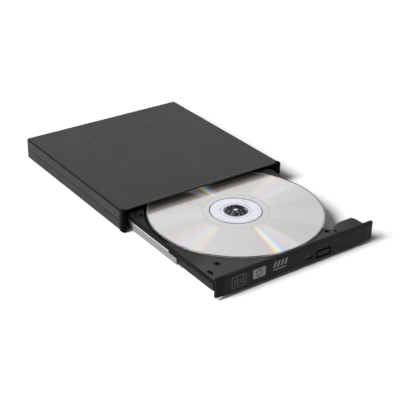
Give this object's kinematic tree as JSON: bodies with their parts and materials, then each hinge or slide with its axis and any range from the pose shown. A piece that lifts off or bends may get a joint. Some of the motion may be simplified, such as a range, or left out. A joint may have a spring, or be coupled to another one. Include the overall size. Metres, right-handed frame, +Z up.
{
  "type": "external optical drive",
  "caption": "Slim external optical disc drive with a flat case, a tray drawn out on telescopic rails, a silver disc on the spindle hub, and an eject button in the tray's bezel.",
  "frame": {"origin": "on the desk plane, under the middle of the case's front edge", "axes": "+Z up, +Y towards the back of the case, so the tray slides out along -Y; +X to the right seen from the front"},
  "size_m": [0.1356, 0.24, 0.0167],
  "materials": {
    "case_plastic": "fine matte moulded ABS, dark grey",
    "tray_plastic": "satin moulded plastic, dark grey",
    "bezel_plastic": "satin black moulded plastic",
    "guide_plastic": "plain black acetal",
    "sheet_steel": "zinc-plated pressed steel",
    "rail_steel": "bright rolled steel",
    "screw_steel": "blackened steel",
    "shaft_steel": "ground and polished",
    "rubber": "matt black",
    "circuit_board": "green solder mask",
    "chip_epoxy": "matt epoxy",
    "connector_plastic": "natural nylon",
    "cable_film": "flat flexible cable",
    "brass": "turned",
    "copper_coil": "enamelled winding",
    "light_pipe": "smoked clear plastic",
    "hub_plastic": "glossy near-black plastic",
    "disc_surface": "silvered polycarbonate",
    "lens_glass": "coated",
    "diecast": "cast zinc alloy"
  },
  "bodies": {
    "housing": {"top_shell": "case_plastic", "bottom_shell": "case_plastic", "case_screws": "screw_steel", "rubber_feet": "rubber", "chassis_pan": "sheet_steel", "chassis_cover": "sheet_steel", "chassis_screws": "screw_steel", "drive_screws": "screw_steel", "left_guide": "guide_plastic", "right_guide": "guide_plastic", "ejector_plunger": "guide_plastic", "ejector_spring": "shaft_steel", "bridge_board": "circuit_board", "board_screws": "screw_steel", "bridge_chips": "chip_epoxy", "bridge_connector": "connector_plastic", "drive_connector": "guide_plastic", "usb_socket": "sheet_steel", "usb_tongue": "guide_plastic", "dc_jack": "guide_plastic", "dc_pin": "brass", "flex_cable": "cable_film"},
    "tray": {"tray": "tray_plastic", "tray_underplate": "sheet_steel", "tray_screws": "screw_steel", "tray_bezel": "bezel_plastic", "led_window": "light_pipe", "eject_board": "circuit_board", "eject_switch": "chip_epoxy", "latch_housing": "tray_plastic", "latch_solenoid": "copper_coil", "solenoid_core": "shaft_steel", "tray_board": "circuit_board", "board_chips": "chip_epoxy", "spindle_motor": "sheet_steel", "guide_rods": "shaft_steel", "rod_clamps": "guide_plastic", "sled_motor": "sheet_steel"},
    "left_rail": {"left_rail": "rail_steel"},
    "right_rail": {"right_rail": "rail_steel"},
    "spindle": {"spindle_shaft": "shaft_steel", "rotor_cup": "sheet_steel", "turntable": "guide_plastic", "turntable_pad": "rubber", "chuck_hub": "hub_plastic", "chuck_balls": "hub_plastic", "disc": "disc_surface"},
    "pickup": {"pickup_carriage": "diecast", "lens_holder": "guide_plastic", "objective_lens": "lens_glass"},
    "leadscrew": {"leadscrew": "shaft_steel"},
    "eject_button": {"eject_button": "bezel_plastic"},
    "latch_lever": {"latch_lever": "sheet_steel"}
  },
  "joints": [
    {"name": "tray_slide", "type": "slide", "parent": "housing", "child": "tray", "axis": [0, -1, 0], "range_m": [-0.0998, 0.024]},
    {"name": "left_rail_slide", "type": "slide", "parent": "housing", "child": "left_rail", "axis": [0, -1, 0], "range_m": [-0.05988, 0.0144]},
    {"name": "right_rail_slide", "type": "slide", "parent": "housing", "child": "right_rail", "axis": [0, -1, 0], "range_m": [-0.05988, 0.0144]},
    {"name": "disc_spin", "type": "hinge", "parent": "tray", "child": "spindle", "pos_m": [-0.0008, -0.0378, 0.0136], "axis": [0, 0, 1], "continuous": true},
    {"name": "sled_slide", "type": "slide", "parent": "tray", "child": "pickup", "axis": [-0.7071, 0.7071, 0], "range_m": [-0.001, 0.0315]},
    {"name": "leadscrew_spin", "type": "hinge", "parent": "tray", "child": "leadscrew", "pos_m": [0.01476, -0.02224, 0.0068], "axis": [-0.7071, 0.7071, 0], "range_deg": [-120, 3780]},
    {"name": "eject_button_press", "type": "slide", "parent": "tray", "child": "eject_button", "axis": [0, 1, 0], "range_m": [0, 0.0006], "stiffness_N_per_m": 400, "springref_m": -0.0005},
    {"name": "latch_turn", "type": "hinge", "parent": "tray", "child": "latch_lever", "pos_m": [0.0545, -0.0965, 0.0056], "axis": [0, 0, -1], "range_deg": [0, 12]}
  ],
  "couplings": [
    {"joint": "left_rail_slide", "follows": "tray_slide", "ratio": 0.6},
    {"joint": "right_rail_slide", "follows": "tray_slide", "ratio": 0.6},
    {"joint": "leadscrew_spin", "follows": "sled_slide", "rad_per_m": 2094.4}
  ]
}
